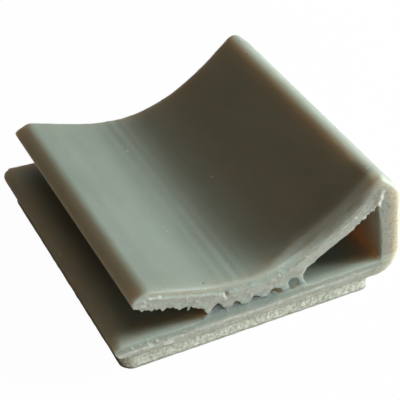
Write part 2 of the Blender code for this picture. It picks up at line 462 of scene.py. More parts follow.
def pvc_cut():
    """Sawn grey PVC: pale stress marks dragged along the cut, with sparkling torn grains."""
    g = Graph("grey_pvc_cut")
    streaks = g.noise(0.16 * MM, (5, 1, 1), 4.0, 0.6)
    patches = g.noise(1.3 * MM, (2.2, 1, 1), 3.0)
    grit = g.noise(0.09 * MM, (1.6, 1, 1), 2.0)
    body = g.mix(g.ramp(patches, (0.35, 0.0), (0.65, 1.0)), (0.295, 0.325, 0.290), (0.355, 0.385, 0.350))
    body = g.mix(g.ramp(streaks, (0.42, 0.0), (0.72, 0.45)), body, (0.48, 0.51, 0.46))
    body = g.mix(g.ramp(grit, (0.34, 0.5), (0.48, 0.0)), body, (0.19, 0.19, 0.16))
    body = g.mix(g.ramp(grit, (0.56, 0.0), (0.70, 0.5)), body, (0.52, 0.54, 0.49))
    burnished = g.mix(g.ramp(streaks, (0.4, 0.0), (0.7, 0.4)), (0.42, 0.49, 0.44), (0.50, 0.57, 0.515))
    body = g.mix(g.mark("smooth"), body, burnished)
    body = g.mix(g.spots(0.26 * MM, 0.05, (1.5, 1, 1)), body, (0.60, 0.64, 0.58))
    # Painted shade along the step line and the seam, and on the top of the rising leaf's cut; also darker
    # pits, foot and upper half of the base
    body = g.mix(g.mark("shade", 0.8), body, (0.12, 0.130, 0.105))
    # Stress whitening and strokes, with painted highlight along the step line and the seam
    body = g.mix(g.mark("wear_and_light", 0.8), body, (0.70, 0.71, 0.64))
    g.set(Base_Color=body, Roughness=g.ramp(streaks, (0.3, 0.62), (0.7, 0.42)))
    fine = g.bump(streaks, 0.3, 0.02 * MM)
    g.set(Normal=g.bump(grit, 0.4, 0.012 * MM, fine))
    set_pvc(g, g.mark("wear_and_light"))
    return g.material


def foam_material():
    """Pale closed-cell foam with light flecks, darker in a band along its top and faintly at its foot."""
    g = Graph("foam_cells")
    cells = g.noise(0.22 * MM, (1, 1, 1), 3.0, 0.6)
    clouds = g.noise(1.6 * MM, (1, 1, 1), 2.0)
    body = g.mix(g.ramp(clouds, (0.35, 0.0), (0.65, 1.0)), (0.72, 0.74, 0.64), (0.80, 0.82, 0.72))
    body = g.mix(g.ramp(cells, (0.34, 0.75), (0.52, 0.0)), body, (0.40, 0.42, 0.34))
    body = g.mix(g.ramp(cells, (0.56, 0.0), (0.66, 0.9)), body, (0.97, 0.98, 0.93))
    body = g.mix(g.spots(0.45 * MM, 0.05), body, (0.95, 0.96, 0.90))
    edge = g.ramp(g.mark("level"), (0.0, 0.2), (0.04, 0.0), (0.83, 0.0), (0.93, 0.7))
    body = g.mix(edge, body, (0.13, 0.125, 0.095))
    g.set(Base_Color=body, Roughness=0.92)
    g.set(Normal=g.bump(cells, 0.6, 0.03 * MM))
    g.set(Subsurface_Weight=0.4, Subsurface_Scale=0.5 * MM, Subsurface_Radius=(1.0, 0.9, 0.7))
    g.set(Specular_IOR_Level=0.3)
    return g.material


def liner_material():
    """Thin grey-buff release paper, paler where its fibres lie bare."""
    g = Graph("liner_paper")
    fibres = g.noise(0.4 * MM, (3, 1, 1), 4.0, 0.6)
    clouds = g.noise(3.0 * MM, (1, 1, 1), 3.0)
    body = g.mix(g.ramp(clouds, (0.3, 0.0), (0.7, 1.0)), (0.40, 0.40, 0.34), (0.46, 0.46, 0.39))
    body = g.mix(g.ramp(fibres, (0.5, 0.0), (0.75, 0.6)), body, (0.53, 0.53, 0.46))
    g.set(Base_Color=body, Roughness=g.ramp(fibres, (0.3, 0.45), (0.7, 0.62)))
    g.set(Normal=g.bump(fibres, 0.3, 0.01 * MM))
    return g.material


# The extrusion

# Zones of its section: places across from the middle, and heights above the top of the base plate
BASE_BELOW = 3.5 * MM               # from the underside: what looks up below this is the base plate
ON_BASE = 0.02 * MM                 # still part of the base plate
OFF_BASE = 0.025 * MM               # no longer part of it
CUT_LEAF_ABOVE = 0.9 * MM
NOSE_ABOVE = 1.5 * MM
TEETH_BELOW = 1.9 * MM
LEAF_ABOVE = 2.2 * MM
FLARE_END = -4.9 * MM
TEETH_ACROSS = mm(-5.2, 4.2)
TEETH_END = 4.0 * MM
WALL_START = 9.5 * MM
BASE_SHIELDED = mm(-5.2, -4.8, 1.5, 3.5)    # where the teeth kept the blade's roll off the base

# Mouth end of the base plate, which has curled up off the tape
BOW_FROM = -3.5 * MM
BOW_UNDER = 0.34 * MM
BOW_OVER = 0.20 * MM

# How far the far cut runs askew, and where that starts
SKEW_BASE = 0.60 * MM
SKEW_BASE_FROM = 2.0 * MM
SKEW_LEAF = 0.50 * MM
SKEW_LEAF_FROM = -3.0 * MM

NOSE_WEAR = 24                      # passes of smoothing round the nose

# Depths of the rings near a sawn end
RIM_DEPTHS = mm(0.0, 0.012, 0.03, 0.06, 0.1, 0.16, 0.24, 0.36, 0.55, 0.9)

CUT_GRAIN = Grain(11)
SKIN_GRAIN = Grain(5)
RAGGED_GRAIN = Grain(23)
FAR_SHIFT = 300.0                   # keeps the far cut's ragged edge unlike the front one's

# Cut ends. The blade came from above: it rolled the upper edges over and tore the lower ones.
RIM_ROUND = 0.05 * MM
ROLL_FLARE = 0.26 * MM
ROLL_RISE = 1.05 * MM
ROLL_BASE = 0.42 * MM
ROLL_NOSE = 0.80 * MM               # at the far end, round the nose and the edge of the base
ROLL_SLOPE = 0.9
BURR_REACH = 0.16 * MM
HAIR_AT = -6.3 * MM                 # one fibre that hangs from the torn edge
HAIR_LENGTH = 0.60 * MM
HAIR_WIDTH = 0.06 * MM

# Depths behind the front cut where painted shade comes and goes
GROOVE_SHADE_DEPTHS = mm(0.1, 0.4, 3.0, 6.0)
RISE_RIM_SHADE_DEPTHS = mm(0.2, 0.9, 1.6, 3.5)

# Lips that hang from the torn lower edge of the leaf at the front end: place, width and length
LIPS = [
    (-10.15, 0.14, 0.16), (-9.75, 0.10, 0.07), (-9.32, 0.12, 0.17), (-9.0, 0.09, 0.12), (-8.38, 0.16, 0.20),
    (-7.85, 0.10, 0.09), (-7.45, 0.12, 0.08), (-7.05, 0.12, 0.19), (-6.62, 0.09, 0.08), (-5.95, 0.10, 0.10),
    (7.9, 0.10, 0.08), (8.45, 0.10, 0.12), (8.95, 0.14, 0.20), (9.3, 0.07, 0.12), (9.62, 0.12, 0.24)]

# Front end, measured on the cut face: x from the middle, z from the underside
STEP_LINE = [mm(x, z) for x, z in (
    (-10.6, 6.6), (-9.5, 6.45), (-8.5, 6.2), (-6.6, 5.55), (-4.4, 5.0), (-3.9, 4.75), (-3.3, 4.6),
    (-2.0, 4.4), (0.0, 4.35), (2.0, 4.7), (3.8, 5.55), (5.8, 6.6), (7.6, 7.7), (8.8, 8.8))]
LEAN_LINE = [mm(x, z) for x, z in (
    (0.0, 4.35), (2.0, 4.7), (3.8, 5.55), (5.8, 6.6), (7.6, 7.8), (8.8, 8.95), (9.6, 9.75), (10.4, 10.25),
    (12.0, 10.4))]
LEAN_ACROSS = mm(0.5, 4.0, 10.8, 12.0)
LEAN = 0.50 * MM
LEAN_REACH = 1.0 * MM
STEP_DEPTH = 0.09 * MM
STEP_WIDTH = 0.10 * MM
STEP_RIDGE = 0.035 * MM
SEAM_HEIGHT = 1.95 * MM             # parts the burnished and the torn half of the base's cut
SEAM_SLOPE = 0.006
SEAM_STEP = 0.07 * MM
SEAM_WIDTH = 0.03 * MM
TEAR = mm(-3.15, 4.52)
TEAR_SIZE = 0.17 * MM
TEAR_DEPTH = 0.20 * MM

# Whitened strokes of the cut face: ends (x, z), width, whiteness and how far they stand out
STROKES = [
    (10.42, 9.75, 10.24, 9.15, 0.19, 1.2, 0.06),
    (10.24, 9.10, 10.10, 8.70, 0.22, 1.9, 0.10),
    (10.08, 8.62, 10.22, 8.28, 0.13, 1.7, 0.08),
    (9.98, 8.60, 9.86, 8.42, 0.12, 1.7, 0.09),
    (9.45, 8.25, 9.75, 8.46, 0.07, 1.1, 0.05),
    (8.70, 7.60, 9.10, 7.92, 0.05, 0.9, 0.04),
    (-8.78, 6.44, -8.60, 6.34, 0.08, 2.2, 0.07),
    (-9.85, 6.90, -9.45, 6.50, 0.07, 0.8, 0.03),
    (-9.45, 6.50, -8.80, 6.36, 0.07, 0.8, 0.03),
    (-10.15, 6.05, -9.85, 5.97, 0.08, 1.0, 0.03),
    (-9.95, 6.45, -9.80, 6.20, 0.06, 1.2, 0.04),
    (5.00, 6.22, 7.60, 7.62, 0.05, 0.6, 0.02),
    (8.00, 7.98, 8.20, 7.86, 0.06, 1.8, 0.05),
    (3.70, 5.66, 3.95, 5.60, 0.06, 1.0, 0.03),
    (-3.72, 5.25, -3.68, 4.55, 0.09, 0.3, 0.02),
    (-3.35, 4.55, -3.18, 3.95, 0.09, 0.45, 0.04),
    (1.45, 4.74, 1.50, 4.45, 0.05, 1.1, 0.03),
    (-8.45, 1.62, -7.90, 1.66, 0.14, 1.3, 0.04),
    (-9.80, 2.25, -9.62, 1.85, 0.06, 1.6, 0.04),
    (-9.55, 2.10, -9.45, 1.85, 0.05, 1.2, 0.03),
    (-10.45, 2.40, -10.35, 2.20, 0.05, 1.2, 0.03),
    (-11.15, 2.40, -11.00, 2.15, 0.06, 1.1, 0.03),
    (-9.12, 2.32, -9.00, 2.12, 0.06, 1.3, 0.03),
    (-7.02, 1.88, -6.90, 1.80, 0.06, 1.2, 0.03),
    (8.10, 2.25, 8.45, 2.15, 0.07, 0.8, 0.02),
]

# How the blade dragged the teeth at the front end: each place of the section (x, z) and where it went
DRAGS = [
    (-5.80, 4.32, -5.80, 4.26), (-5.48, 4.22, -5.45, 4.00), (-5.14, 4.13, -5.12, 3.72),
    (-4.84, 3.94, -4.95, 3.48), (-4.70, 3.72, -4.91, 3.28), (-4.65, 3.45, -4.84, 3.12),
    (-4.52, 3.34, -4.62, 3.08), (-4.44, 3.43, -4.43, 3.14), (-4.36, 3.55, -4.36, 3.40),
    (-4.23, 3.67, -4.20, 3.62), (-3.89, 3.78, -3.88, 3.82), (-3.55, 3.70, -3.62, 3.62),
    (-3.29, 3.46, -3.48, 3.36), (-3.20, 3.20, -3.30, 3.12), (-3.08, 2.99, -3.05, 2.99),
    (-2.94, 3.16, -2.76, 3.08), (-2.82, 3.29, -2.62, 3.22), (-2.68, 3.40, -2.52, 3.38),
    (-2.34, 3.51, -2.34, 3.46), (-1.99, 3.44, -2.12, 3.32), (-1.70, 3.23, -1.92, 3.06),
    (-1.58, 3.00, -1.75, 2.90), (-1.41, 2.80, -1.50, 2.77), (-1.28, 2.97, -1.22, 2.90),
    (-1.18, 3.12, -1.04, 3.08), (-0.92, 3.34, -0.92, 3.26), (-0.59, 3.44, -0.70, 3.33),
    (-0.25, 3.40, -0.40, 3.22), (0.05, 3.23, -0.12, 3.02), (0.26, 2.96, 0.12, 2.90),
    (0.43, 2.88, 0.42, 2.76), (0.54, 3.09, 0.52, 2.98), (0.60, 3.26, 0.62, 3.18),
    (0.82, 3.53, 0.80, 3.36), (1.31, 3.71, 1.12, 3.43), (1.66, 3.65, 1.40, 3.32),
    (1.95, 3.44, 1.64, 3.10), (2.06, 3.30, 1.62, 2.80), (2.14, 3.27, 2.10, 2.68),
    (2.23, 3.36, 2.62, 2.72), (2.21, 3.53, 2.42, 3.20), (2.24, 3.71, 2.28, 3.50),
    (2.31, 3.87, 2.30, 3.70), (2.57, 4.11, 2.50, 3.86), (2.92, 4.19, 2.78, 3.86),
    (3.26, 4.08, 3.06, 3.74), (3.39, 3.97, 3.18, 3.42), (3.50, 3.82, 2.98, 2.92),
    (3.56, 3.80, 3.34, 2.74), (3.61, 3.86, 3.92, 2.82), (3.64, 3.97, 3.68, 3.28),
    (3.64, 4.15, 3.56, 3.66), (3.68, 4.33, 3.60, 3.94), (3.76, 4.48, 3.78, 4.22),
    (4.04, 4.71, 4.02, 4.50), (4.37, 4.85, 4.40, 4.72)]
DRAG_REACH = 0.30 * MM
DRAG_SOFT = 0.02 * MM               # keeps the pull of the nearest place finite
DRAG_PROUD = 0.06 * MM
DRAG_DEPTH = 0.14 * MM

# Burr of the base's upper edge that fills the grooves at the front end
BURR_LINE = [mm(x, z) for x, z in (
    (-5.7, 2.75), (-5.2, 2.80), (-4.86, 2.90), (-4.62, 3.00), (-4.44, 3.10), (-4.34, 3.36), (-4.18, 3.57),
    (-3.88, 3.76), (-3.67, 3.58), (-3.52, 3.34), (-3.34, 3.10), (-3.05, 2.96), (-2.76, 3.03), (-2.62, 3.17),
    (-2.50, 3.30), (-2.34, 3.36), (-2.16, 3.28), (-1.97, 3.03), (-1.75, 2.88), (-1.50, 2.78), (-1.22, 2.88),
    (-1.06, 3.02), (-0.92, 3.18), (-0.70, 3.27), (-0.42, 3.17), (-0.14, 2.98), (0.12, 2.88), (0.42, 2.84),
    (0.53, 3.08), (0.66, 3.24), (0.80, 3.26), (0.92, 3.30), (1.06, 3.16), (1.18, 2.98), (1.40, 2.76),
    (2.60, 2.75), (3.00, 2.88), (3.40, 3.02), (3.80, 2.92), (4.20, 2.80), (4.70, 2.75))]
BURR_DEPTH = 0.16 * MM
BURR_BACK = 0.05 * MM

# Die lines along the leaf's top: place across, width and height
RIBS = [
    (-3.35, 0.30, 0.018), (-2.35, 0.42, 0.055), (-1.45, 0.30, 0.028), (-0.55, 0.30, 0.015),
    (-7.9, 0.5, 0.008)]
RIB_GAP_AT = 0.55                   # of the length, where the die lines fade
RIB_GAP_REACH = 6.5 * MM


class Clip:
    """Section of the extrusion as the scene shows it, with the zones of its outline."""

    def __init__(self):
        low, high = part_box("clip_body")
        self.front, self.back = low.y, high.y
        self.length = self.back - self.front
        self.left, self.bottom = low.x, low.z
        self.outline = Outline(rim_loop("clip_body", 1), SKIN_STEP)
        x, z = self.outline.points.T
        upward = self.outline.normals[:, 1]
        self.base_top = float(np.median(z[(upward > 0.99) & (z < BASE_BELOW)]))
        leaf = z > self.base_top + LEAF_ABOVE
        on_base = z < self.base_top + ON_BASE
        top = (upward > 0.3) & leaf & (x < x[np.argmax(z)])
        self.leaf_top = self.outline.points[top][np.argsort(x[top])]
        self.outline.points[:, 1] += np.where(on_base, self.bow(x, z), 0.0)
        self.soften_nose()
        self.outline.measure()
        self.find_rolls(upward, leaf)
        self.find_zones(upward, on_base)

    def find_rolls(self, upward, leaf):
        """How far the blade rolled each edge over at the front cut, and at the far one."""
        x = self.outline.points[:, 0]
        rising = ease(x, -1 * MM, 4 * MM) * (1 - 0.6 * ease(x, 9 * MM, 11 * MM))
        leaf_roll = ROLL_FLARE + (ROLL_RISE - ROLL_FLARE) * rising
        base_roll = ROLL_BASE * (1 - 0.95 * between(x, *BASE_SHIELDED))
        self.roll = np.where(leaf, leaf_roll, base_roll) * ease(upward, 0.15, 0.6)
        mouth_edge = ease(-x, 10.6 * MM, 11.6 * MM) * ease(-self.outline.normals[:, 0], -0.2, 0.2)
        self.far_roll = np.maximum(self.roll, ROLL_NOSE * mouth_edge)

    def find_zones(self, upward, on_base):
        """Stretches of the outline with burrs or grime of their own."""
        x, z = self.outline.points.T
        under = (upward < -0.2) & ~on_base
        self.under_flare = under & (x < FLARE_END)
        self.under_teeth = under & (x > FLARE_END) & (x < TEETH_END)
        self.under_rise = under & (x > TEETH_END)
        inward = self.outline.normals[:, 0] < -0.8
        self.wall_inside = inward & (x > WALL_START) & (z > self.base_top + 0.1 * MM)
        first, last = TEETH_ACROSS
        self.teeth = ~on_base & (x > first) & (x < last) & (z < self.base_top + TEETH_BELOW)

    def soften_nose(self):
        """Wears the two edges of the leaf's nose rounder than the die left them."""
        points = self.outline.points
        for _ in range(NOSE_WEAR):
            x, z = points.T
            share = ease(-x, 10.0 * MM, 10.8 * MM) * (z > self.base_top + NOSE_ABOVE)
            middle = (np.roll(points, 1, 0) + np.roll(points, -1, 0)) / 2
            points += (middle - points) * 0.5 * share[:, None]

    def under_top(self, x, z):
        """Depth below the leaf's top, square to it."""
        top_x, top_z = self.leaf_top.T
        steep = np.interp(x, top_x, np.gradient(top_z, top_x))
        return (np.interp(x, top_x, top_z) - z) / np.hypot(1.0, steep)

    def over_base(self, x, z):
        """Whether a place of the section belongs to the leaf or the wall, above the base plate."""
        return z > self.base_top + self.bow(x, self.base_top) + OFF_BASE

    def towards_mouth(self, x, start):
        """From zero at the start to one at the mouth's edge."""
        return np.clip((start - x) / (start - self.left), 0.0, 1.0)

    def bow(self, x, z):
        """How far the mouth end of the base plate curls up off its tape."""
        level = (z - self.bottom) / (self.base_top - self.bottom)
        return self.towards_mouth(x, BOW_FROM) ** 2 * (BOW_UNDER + (BOW_OVER - BOW_UNDER) * level)

    def underside(self, x):
        """Height of the curled base plate's underside."""
        return self.bottom + self.bow(x, self.bottom)

    def skew(self, x, z):
        """How far the far cut stands out beyond the section's square end, towards the mouth."""
        base = SKEW_BASE * self.towards_mouth(x, SKEW_BASE_FROM)
        leaf = SKEW_LEAF * self.towards_mouth(x, SKEW_LEAF_FROM) ** 2
        return np.where(self.over_base(x, z), leaf, base)

    def lean(self, x, z):
        """How far the front cut leans back along the top of the rising leaf, where the blade dragged it."""
        above = np.clip((z - line_height(x, LEAN_LINE)) / LEAN_REACH, 0.0, 1.0)
        return LEAN * between(x, *LEAN_ACROSS) * self.over_base(x, z) * above ** 2


# Front cut

def drag(x, z, clip):
    """Sideways and downward drag of the leaf's teeth at the front end."""
    total = np.full_like(x, DRAG_REACH ** -4)
    dx, dz = np.zeros_like(x), np.zeros_like(x)
    for row in DRAGS:
        from_x, from_z, to_x, to_z = mm(*row)
        weight = ((x - from_x) ** 2 + (z - from_z) ** 2 + DRAG_SOFT ** 2) ** -2
        dx += (to_x - from_x) * weight
        dz += (to_z - from_z) * weight
        total += weight
    leaf = clip.over_base(x, z)
    return dx / total * leaf, dz / total * leaf


def base_burr(x, clip):
    """Height of the burr on the base's upper edge at the front end."""
    return line_height(x, BURR_LINE) - clip.base_top


def behind_cut(flat, depth, clip):
    """Section points of a ring behind the front cut, where the drag and the base's burr die out."""
    x, z = flat.T
    leaf = clip.over_base(x, z)
    dx, dz = drag(x, z, clip)
    fade = bell(depth, DRAG_DEPTH)
    top = ~leaf & (z > clip.base_top - 0.3 * MM)
    dz = np.where(top, base_burr(x, clip) * bell(depth, BURR_DEPTH), dz * fade)
    lowest = np.where(leaf, clip.base_top + ON_BASE, z)
    return np.column_stack([x + dx * fade, np.maximum(z + dz, lowest)])


def stroke_shares(x, z):
    """Each stroke's share at these points of the cut face, its whiteness and how far it stands out."""
    for *sizes, white, out in STROKES:
        ax, az, bx, bz, width = mm(*sizes)
        along = ((x - ax) * (bx - ax) + (z - az) * (bz - az)) / ((bx - ax) ** 2 + (bz - az) ** 2)
        along = np.clip(along, 0, 1)
        distance = np.hypot(x - ax - along * (bx - ax), z - az - along * (bz - az))
        yield bell(distance, width), white, out * MM


def above_step(x, z, clip):
    """Distance above the line where the smooth part of the leaf's cut ends, and where that line exists."""
    wander = 0.06 * MM * CUT_GRAIN.rough(2, x / (0.9 * MM), 3.1)
    on_leaf = (z > clip.base_top + CUT_LEAF_ABOVE) * (1 - ease(x, 8.3 * MM, 9.8 * MM))
    return z - line_height(x, STEP_LINE) + wander, on_leaf


def above_seam(x, z):
    """Distance above the seam that parts the burnished and the torn half of the base's cut."""
    return z - (SEAM_HEIGHT + SEAM_SLOPE * x) - 0.07 * MM * CUT_GRAIN.rough(2, x / (1.5 * MM), 0.0)


def saw_marks(x, z, shift):
    """Fine furrows dragged along a cut, with torn grains between them."""
    furrows = CUT_GRAIN.rough(3, x / (1.6 * MM) + shift, z / (0.20 * MM))
    grains = np.maximum(CUT_GRAIN.rough(2, x / (0.34 * MM) + shift, z / (0.22 * MM)) - 0.25, 0)
    return 0.012 * MM * furrows + 0.05 * MM * grains


def front_relief(x, z, clip):
    """How far the front cut face stands out, in metres."""
    above, on_leaf = above_step(x, z, clip)
    ridge = STEP_RIDGE * bell(above, STEP_WIDTH)
    height = on_leaf * (ridge - STEP_DEPTH * soft_step(above, STEP_WIDTH / 4))
    tear_x, tear_z = TEAR
    height = height - TEAR_DEPTH * bell(np.hypot(x - tear_x, (z - tear_z) * 0.8), TEAR_SIZE)
    height = height + sum(out * share for share, _, out in stroke_shares(x, z))
    seam = SEAM_STEP * soft_step(-above_seam(x, z), SEAM_WIDTH)
    return height + np.where(z < clip.base_top, seam, 0.0) + saw_marks(x, z, 0.0)


def back_relief(x, z, clip):
    """How far the far cut face stands out, in metres."""
    line = clip.under_top(x, z) - 0.8 * MM + 0.12 * MM * CUT_GRAIN.rough(2, x / (1.2 * MM), 9.7)
    on_leaf = (z > clip.base_top + CUT_LEAF_ABOVE) & (x < 8.0 * MM)
    step = 0.05 * MM * soft_step(line, 0.03 * MM)
    return np.where(on_leaf, step, 0.0) + saw_marks(x, z, 40.0)


def smooth_share(x, z, clip):
    """Where the cut face is burnished, and not torn: above the step line, and over the base's upper half."""
    above, on_leaf = above_step(x, z, clip)
    base = ease(z, clip.base_top - 0.75 * MM, clip.base_top - 0.35 * MM) * (z < clip.base_top + 0.3 * MM)
    return on_leaf * ease(above, -0.04 * MM, 0.04 * MM) + base


def cut_marks(x, z, clip):
    """Pale and dark marks on the front cut face: painted highlight and painted shade along the step line and
    the seam, painted shade where the rising leaf's cut turns from the light, stress whitening of torn parts,
    darker pits, a darker foot and a darker upper half of the base.
    """
    above, on_leaf = above_step(x, z, clip)
    seam = above_seam(x, z)
    base = (z < clip.base_top) & (x < 11 * MM)
    torn = 1 - smooth_share(x, z, clip)
    broken = 0.55 + 0.45 * CUT_GRAIN.rough(2, x / (0.5 * MM), z / (0.5 * MM) + 30)

    grain = CUT_GRAIN.rough(3, x / (0.7 * MM), z / (0.3 * MM) + 11)
    whitened = 0.50 * torn * (1 - ease(x, 8.8 * MM, 10.2 * MM)) * (1 + 0.35 * grain)
    # Painted highlight along the step line and the seam
    highlit_step_lines = 0.6 * base * bell(seam + 0.03 * MM, 0.08 * MM)
    highlit_step_lines = highlit_step_lines + 0.4 * on_leaf * bell(above - 0.08 * MM, 0.06 * MM)

    # Painted shade along the step line and the seam
    shaded_step_lines = 0.6 * base * bell(seam - 0.12 * MM, 0.08 * MM)
    shaded_step_lines = shaded_step_lines + 0.8 * on_leaf * bell(above + 0.05 * MM, 0.07 * MM)
    foot = 0.7 * base * bell(z - clip.underside(x), 0.10 * MM)
    # Painted shade where the top of the rising leaf's cut turns away from the light
    leaf_edge_shade = 0.85 * on_leaf * ease(above, 0.02 * MM, 0.45 * MM) * ease(x, 2 * MM, 6 * MM)
    base_edge = 0.40 * base * ease(seam, 0.0, 0.3 * MM)
    base_edge = base_edge * (1 - 0.5 * ease(z, clip.base_top - 0.4 * MM, clip.base_top))
    pits = 0.8 * torn * ease(CUT_GRAIN.rough(2, x / (0.22 * MM) + 60, z / (0.16 * MM)), 0.55, 0.95)
    dark = np.maximum.reduce([shaded_step_lines * broken, foot, leaf_edge_shade, base_edge, pits])
    return highlit_step_lines * broken + whitened, dark


def end_face(clip, flat, far):
    """Section points placed on a cut face, with its relief and, at the front, the drag and the burr."""
    x, z = flat.T
    if far:
        return flat, clip.back + back_relief(x, z, clip)
    dx, dz = drag(x, z, clip)
    proud = DRAG_PROUD * ease(np.hypot(dx, dz), 0.1 * MM, 0.4 * MM)
    base = z < clip.base_top + OFF_BASE
    lift = base_burr(x, clip) * base * ease(z, clip.base_top - 0.5 * MM, clip.base_top - 0.05 * MM)
    proud = proud - BURR_BACK * ease(lift, 0.0, 0.3 * MM)
    y = clip.front - front_relief(x, z, clip) - proud + clip.lean(x, z)
    return np.column_stack([x + dx, z + dz + lift]), y


# Skin and ends of the extrusion

def skin_height(clip, station):
    """Die lines of the extruded skin, which run along Y and hardly change on the way."""
    along = clip.outline.along
    x, z = clip.outline.points.T
    lines = SKIN_GRAIN.rough(2, along / (1.5 * MM), station / (60 * MM))
    fine = SKIN_GRAIN(along / (0.45 * MM) + 71.0, station / (40 * MM))
    height = 0.008 * MM * lines + 0.0025 * MM * fine
    top = (clip.outline.normals[:, 1] > 0.3) & (z > clip.base_top + LEAF_ABOVE)
    faded = 0.7 * bell(station - RIB_GAP_AT * clip.length, RIB_GAP_REACH)
    for row in RIBS:
        place, width, tall = mm(*row)
        height = height + top * tall * bell(x - place, width) * (1 - faded)
    return height


def rim_offset(clip, depth, far):
    """How far the skin stands out beside a cut: rolled over above, with torn burrs below."""
    along = clip.outline.along
    x, z = clip.outline.points.T
    shift = FAR_SHIFT if far else 0.0
    radius = RIM_ROUND * (1.2 + 0.6 * RAGGED_GRAIN(along / (0.8 * MM) + shift, 0.0))
    reach = np.clip(radius - depth, 0.0, None)
    inset = radius - np.sqrt(np.maximum(radius ** 2 - reach ** 2, 0.0))
    roll = clip.far_roll if far else clip.roll
    rolled = ROLL_SLOPE / 2 * roll * np.clip(1 - depth / np.maximum(roll, 1e-9), 0.0, 1.0) ** 2
    inset = np.maximum(inset, rolled)
    jagged = RAGGED_GRAIN.rough(3, along / (0.42 * MM) + shift, 1.7)
    burr = 0.012 * MM * RAGGED_GRAIN(along / (0.5 * MM) + shift + 50, 0.0)
    burr = burr + clip.under_flare * 0.12 * MM * (jagged + 0.3)
    burr = burr + clip.under_rise * 0.07 * MM * (jagged + 0.25) * (1 + 1.2 * ease(x, 7.5 * MM, 9.5 * MM))
    burr = burr + clip.teeth * 0.06 * MM * (jagged + 0.2)
    if not far:
        burr = burr - clip.wall_inside * 0.16 * MM * bell(z - 5.4 * MM, 1.7 * MM)
        hair = HAIR_LENGTH * bell(x - HAIR_AT, HAIR_WIDTH) * (depth < 0.05 * MM)
        burr = burr + clip.under_flare * hair
        for row in LIPS:
            place, width, length = mm(*row)
            burr = burr + (clip.under_flare | clip.under_rise) * length * bell(x - place, width)
    return burr * bell(depth, BURR_REACH) - inset


def skin_marks(clip, depth, far, edge):
    """Whitening and painted light, painted shade and density of one ring of the skin, whose edge stands out
    as given.
    """
    x, z = clip.outline.points.T
    white = 0.3 * (1 - ease(clip.roll, 0.3 * MM, 0.8 * MM)) + 0.7 * np.clip(edge / (0.06 * MM), 0, 1)
    white = white * bell(depth, 0.07 * MM)
    # Painted light: the nose facet is lightened where the light through the leaf brightens it
    nose = 1.25 * ease(-x, 10.9 * MM, 11.5 * MM) * (z > clip.base_top + NOSE_ABOVE)
    # Painted shade in the grooves under the teeth, where the deep tunnels stay dark
    groove_shade = 0.7 * clip.under_teeth * between(depth, *GROOVE_SHADE_DEPTHS)
    # Painted shade on the wall's inner face next to the front cut, which also cuts the light's wander there
    inner_wall_shade = 0.18 * clip.wall_inside * (1 - ease(depth, 0.2 * MM, 0.9 * MM))
    # Painted shade on the rising leaf's rolled rim, which turns away from the light
    rise_rim_shade = 0.16 * ease(clip.roll, 0.4 * MM, 1.0 * MM) * between(depth, *RISE_RIM_SHADE_DEPTHS)
    shade = np.maximum.reduce([groove_shade, inner_wall_shade, rise_rim_shade]) * (not far)
    dense = np.maximum(white, 2.4 * shade)
    return {"wear_and_light": np.maximum(white, nose), "smooth": 0.0, "shade": shade, "dense": dense}


def add_skin_ring(shell, clip, station):
    """Ring of the skin at a distance from the front cut."""
    far = station > clip.length / 2
    depth = clip.length - station if far else station
    outline = clip.outline
    edge = rim_offset(clip, depth, far)
    flat = outline.points + outline.normals * (skin_height(clip, station) + edge)[:, None]
    y = np.full(len(flat), clip.front + station)
    if depth == 0:
        flat, y = end_face(clip, flat, far)
    elif not far:
        flat = behind_cut(flat, depth, clip)
        y = y + clip.lean(*outline.points.T) * (1 - ease(station, 0.0, 1.8 * MM))
    y = y + clip.skew(*outline.points.T) * (station / clip.length) ** 4
    points = np.column_stack([flat[:, 0], y, flat[:, 1]])
    shell.add_ring(points, **skin_marks(clip, depth, far, edge))


def add_cut_face(shell, clip, far):
    """Cut face inside the first or the last ring of the skin."""
    outline = clip.outline
    loop = outline.points + outline.normals * rim_offset(clip, 0.0, far)[:, None]
    inner, triangles = fill(loop, CAP_STEP, 7 + far)
    x, z = inner.T
    flat, y = end_face(clip, inner, far)
    y = y + clip.skew(x, z) * far
    marks = {"wear_and_light": 0.0, "smooth": 0.0, "shade": 0.0, "dense": 0.0}
    if not far:
        wear_and_light, marks["shade"] = cut_marks(x, z, clip)
        marks["wear_and_light"] = wear_and_light + sum(share * white for share, white, _ in stroke_shares(x, z))
        marks["smooth"] = smooth_share(x, z, clip)
    shell.fill_end(far, np.column_stack([flat[:, 0], y, flat[:, 1]]), triangles, **marks)


def build_clip(clip):
    """Skin rings from the front cut to the far one, and the two cut faces."""
    inner = np.arange(RIM_DEPTHS[-1] + RING_STEP, clip.length - RIM_DEPTHS[-1] - RING_STEP / 2, RING_STEP)
    shell = Shell()
    for station in (*RIM_DEPTHS, *inner, *(clip.length - depth for depth in reversed(RIM_DEPTHS))):
        add_skin_ring(shell, clip, station)
    for far in (False, True):
        add_cut_face(shell, clip, far)
    # The outline turns against +Y, along which its rings follow each other
    return shell.make_piece("grey_clip", [pvc_skin(), pvc_cut()], flipped=True)


# The tape

FOAM_TUCK = 0.3 * MM                # how far the foam hides at the mouth, except near the front cut
LINER_EDGE = [(0.0, -0.02), (0.25, 0.015), (0.75, 0.015), (1.0, -0.02)]     # level and bulge in mm


